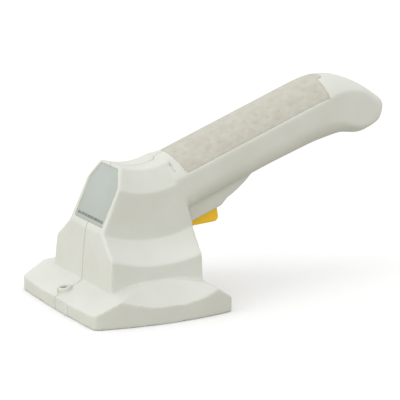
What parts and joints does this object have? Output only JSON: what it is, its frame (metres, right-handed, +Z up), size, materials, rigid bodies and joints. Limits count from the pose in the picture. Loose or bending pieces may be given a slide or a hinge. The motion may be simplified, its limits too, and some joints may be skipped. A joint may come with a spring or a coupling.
{
  "type": "handheld bag heat sealer",
  "caption": "Cordless press-down bag heat sealer with a wide base, faceted tower, sloping padded handle and orange trigger.",
  "frame": {"origin": "centre of the base's underside, on the middle of the sealing line", "axes": "+Z up from the table, +Y towards the handle, -Y towards the front panel, +X to the right seen from the front"},
  "size_m": [0.1044, 0.2102, 0.1184],
  "materials": {
    "casing_abs": "satin ivory moulded ABS",
    "panel_abs": "matt grey-green moulded plastic",
    "grip_tpe": "dimpled warm grey soft-touch elastomer",
    "trigger_abs": "semi-gloss orange-yellow",
    "label_film": "plain white film",
    "black_plastic": "matt black",
    "red_plastic": "matt red",
    "white_nylon": "natural nylon",
    "board_green": "glass-fibre board with green solder resist",
    "blue_sleeve": "shrink sleeve",
    "led_resin": "tinted resin",
    "zinc_steel": "zinc-plated steel",
    "dark_steel": "dark plated steel",
    "spring_steel": "bright spring wire and strip",
    "bar_aluminium": "satin extruded aluminium",
    "ribbon_metal": "resistance alloy ribbon",
    "brass": "machined brass",
    "silicone": "red-brown silicone sponge",
    "ptfe_cloth": "brown coated glass cloth",
    "red_wire": "red insulated wire",
    "grey_wire": "grey insulated wire"
  },
  "bodies": {
    "housing": {"right_casing": "casing_abs", "left_casing": "casing_abs", "front_panel": "panel_abs", "grip_pad": "grip_tpe", "base_plate": "casing_abs", "edge_label": "label_film", "front_screw": "dark_steel", "casing_screws": "zinc_steel", "base_screws": "zinc_steel", "guide_posts": "zinc_steel", "trigger_pin": "zinc_steel", "control_board": "board_green", "timer_chip": "black_plastic", "heater_transistor": "black_plastic", "capacitors": "blue_sleeve", "buzzer": "black_plastic", "indicator_leds": "led_resin", "board_connector": "white_nylon", "board_screws": "zinc_steel", "microswitch": "black_plastic", "battery_cradle": "black_plastic", "battery_cells": "blue_sleeve", "front_contacts": "spring_steel", "rear_contacts": "spring_steel", "charge_board": "board_green", "charging_socket": "black_plastic", "battery_leads": "red_wire", "switch_leads": "grey_wire", "charge_leads": "red_wire", "return_springs": "spring_steel", "heater_leads": "red_wire"},
    "trigger_body": {"trigger": "trigger_abs", "push_lever": "zinc_steel", "trigger_spring": "spring_steel"},
    "press_body": {"press_carriage": "black_plastic", "heater_bar": "bar_aluminium", "silicone_cushion": "silicone", "heating_ribbon": "ribbon_metal", "release_cover": "ptfe_cloth", "terminal_blocks": "brass", "terminal_screws": "zinc_steel", "thermal_cutout": "white_nylon"},
    "plunger_body": {"switch_plunger": "red_plastic"}
  },
  "joints": [
    {"name": "trigger_pull", "type": "hinge", "parent": "housing", "child": "trigger_body", "pos_m": [0, 0.0335, 0.047], "axis": [1, 0, 0], "range_deg": [0, 9], "stiffness_Nm_per_rad": 0.9, "springref_deg": -6.88},
    {"name": "press_slide", "type": "slide", "parent": "housing", "child": "press_body", "axis": [0, 0, -1], "range_m": [0, 0.0054], "deforming": ["return_springs", "heater_leads"]},
    {"name": "switch_press", "type": "slide", "parent": "housing", "child": "plunger_body", "axis": [0, 0, 1], "range_m": [0, 0.001]}
  ],
  "couplings": [
    {"joint": "press_slide", "follows": "trigger_pull", "m_per_rad": 0.0335},
    {"joint": "switch_press", "follows": "trigger_pull", "m_per_rad": 0.006}
  ]
}
